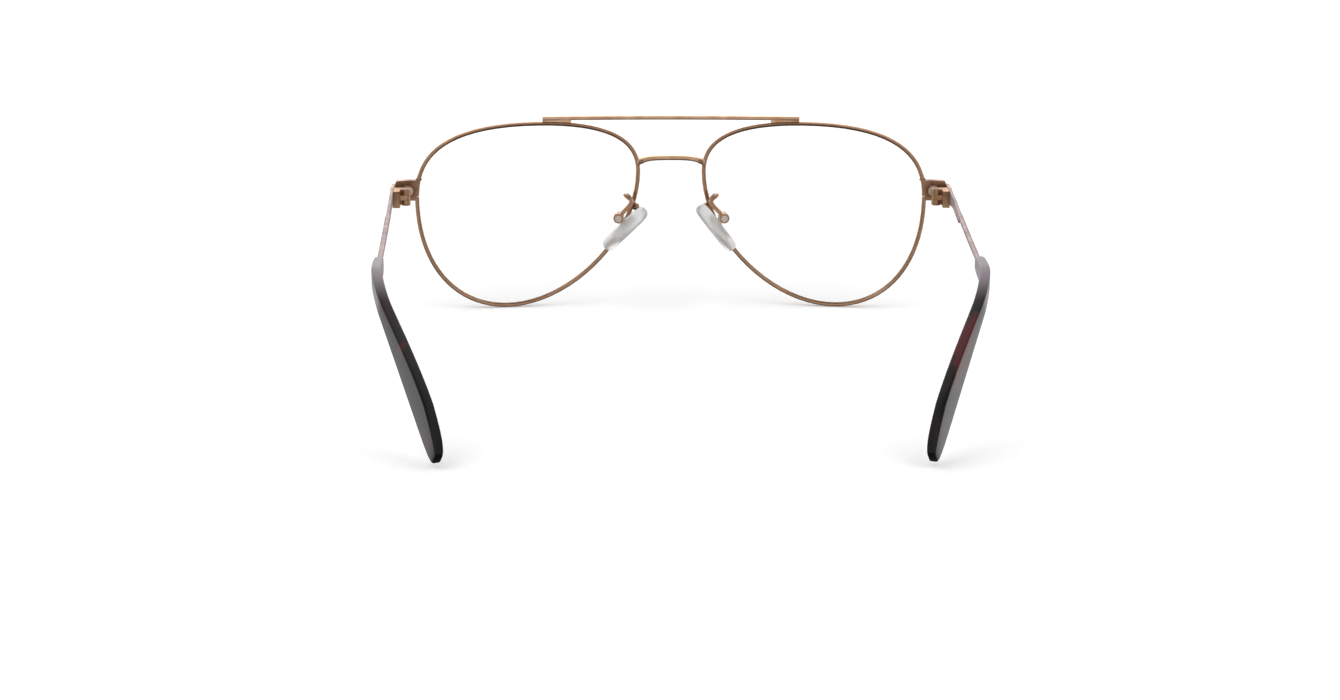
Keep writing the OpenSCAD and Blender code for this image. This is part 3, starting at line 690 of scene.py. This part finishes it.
# powers that square off the oval along and across, and how much wider the lower end is
PAD_SQUARED = (0.78, 0.8)
PAD_WIDER = 0.1
AROUND = 48
EDGE_STEPS = 8
# how far out the three rings of a flat face lie, from its middle to the round edge
FACE_SHARES = (0.1, 0.4, 0.7)


def power(value, exponent):
    """A signed power: it squares off or rounds an ellipse."""
    return math.copysign(abs(value) ** exponent, value)


def pad_ring(inset, height):
    """The pad's outline drawn in by inset, at a height from its middle, in mm."""
    ring = []
    for step in range(AROUND):
        angle = 2 * math.pi * step / AROUND
        x = (PAD_HALF.x - inset) * power(math.cos(angle), PAD_SQUARED[0])
        y = (PAD_HALF.y - inset) * power(math.sin(angle), PAD_SQUARED[1])
        y *= 1 + PAD_WIDER * x / PAD_HALF.x
        ring.append(PAD_MIDDLE + Vector((x, y, height)))
    return ring


def face_inset(share):
    """The inset of a ring on a flat face, at a share of the way out to the edge."""
    return PAD_EDGE + (PAD_HALF.y - PAD_EDGE) * (1 - share)


def pad_rings():
    """Rings from the face on the nose, round the edge, to the back of the pad."""
    flat = PAD_HALF.z - PAD_EDGE
    rings = [pad_ring(face_inset(s), PAD_CROWN * s - PAD_HALF.z) for s in FACE_SHARES]
    for step in range(EDGE_STEPS + 1):
        turn = math.radians(180 * step / EDGE_STEPS - 90)
        # the edge is two quarter rounds with a short straight of twice flat between them
        middle = 0 if 2 * step == EDGE_STEPS else math.copysign(flat, turn)
        inset = PAD_EDGE * (1 - math.cos(turn))
        rings.append(pad_ring(inset, middle + PAD_EDGE * math.sin(turn)))
    rings += [pad_ring(face_inset(s), PAD_HALF.z) for s in reversed(FACE_SHARES)]
    return rings


print("pad outline points:", AROUND)

# %% [markdown]
# ## Placing the pads
# Each pad hangs on its screw at PAD_PIVOT. It leans with the side of the nose, splays
# toward the back, and is turned a few degrees about the screw. It stands for the CAD
# pad, rides with the pad's joint and is soft right through.

# %% Silicone pads
PAD_PIVOT = Vector((13.35, -59.896, 23.794))
PAD_LEAN = 48
PAD_SPLAY = 4
PAD_TURN = {"left": -4, "right": 4}

for side in SIDES:
    turn = (
        Matrix.Rotation(math.radians(PAD_LEAN), 3, "Y")
        @ Matrix.Rotation(math.radians(PAD_SPLAY), 3, "X")
        @ Matrix.Rotation(math.radians(PAD_TURN[side]), 3, "Y")
    )
    placed = [[(PAD_PIVOT + turn @ p) * MM for p in ring] for ring in pad_rings()]
    pad = loft(f"{side}_pad_silicone", on_side(side, placed), silicone)
    smooth = pad.modifiers.new("smooth", "SUBSURF")
    smooth.levels = smooth.render_levels = 1
    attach(pad, f"{side}_pad")
    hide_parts(f"{side}_nose_pad")
print("pad angles:", {side: PAD_LEAN + turned for side, turned in PAD_TURN.items()})

# %% [markdown]
# ## Beads of braze
# Where two wires meet, the maker flows a little silver braze into the corner. It leaves
# a hollow-sided collar that runs out along the wire. A collar is lofted here round the
# end of the wire that butts: its rings grow in a quarter-circle curve towards the joint.

# %% Braze collars
BRAZE_RINGS = 7
BRAZE_AROUND = 20


def braze(name, at, way, across, half, flare, length):
    """A collar in mm: it starts at `at` on the joint and thins along `way`.
    half and flare are sizes across and up from the wire's middle."""
    way = Vector(way).normalized()
    up = way.cross(Vector(across)).normalized()
    across = up.cross(way)
    rings = []
    for step in range(BRAZE_RINGS):
        share = step / (BRAZE_RINGS - 1)
        grow = 1 - math.sqrt(1 - (1 - share) ** 2)
        ring = []
        for point in range(BRAZE_AROUND):
            angle = 2 * math.pi * point / BRAZE_AROUND
            ring.append((
                Vector(at) + way * length * share
                + across * (half[0] + flare[0] * grow) * math.cos(angle)
                + up * (half[1] + flare[1] * grow) * math.sin(angle)
            ) * MM)
        rings.append(ring)
    for side in SIDES:
        bead = loft(f"{side}_{name}", on_side(side, rings), rim_gold)
        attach(bead, "front")


# the lower bridge to the rim
braze(
    "bridge_braze", at=(8.25, -66.745, 36.85), way=(-1, 0, 0.15), across=(0, 1, 0),
    half=(0.96, 0.62), flare=(0.02, 0.5), length=1.3,
)
# the pad arm to the back of the rim
braze(
    "arm_braze", at=(8.95, -65.98, 25.3), way=(0.1, 0.8, 0.3), across=(1, 0, 0),
    half=(0.56, 0.56), flare=(0.34, 0.42), length=0.9,
)
# the rim to the top of the end piece
braze(
    "lug_braze", at=(63.98, -62.92, 32.95), way=(-0.17, -0.09, 1), across=(0, 1, 0),
    half=(0.82, 0.52), flare=(0.06, 0.4), length=1.2,
)

# %% Close
bpy.context.scene.view_settings.view_transform = "Standard"
bpy.context.view_layer.update()
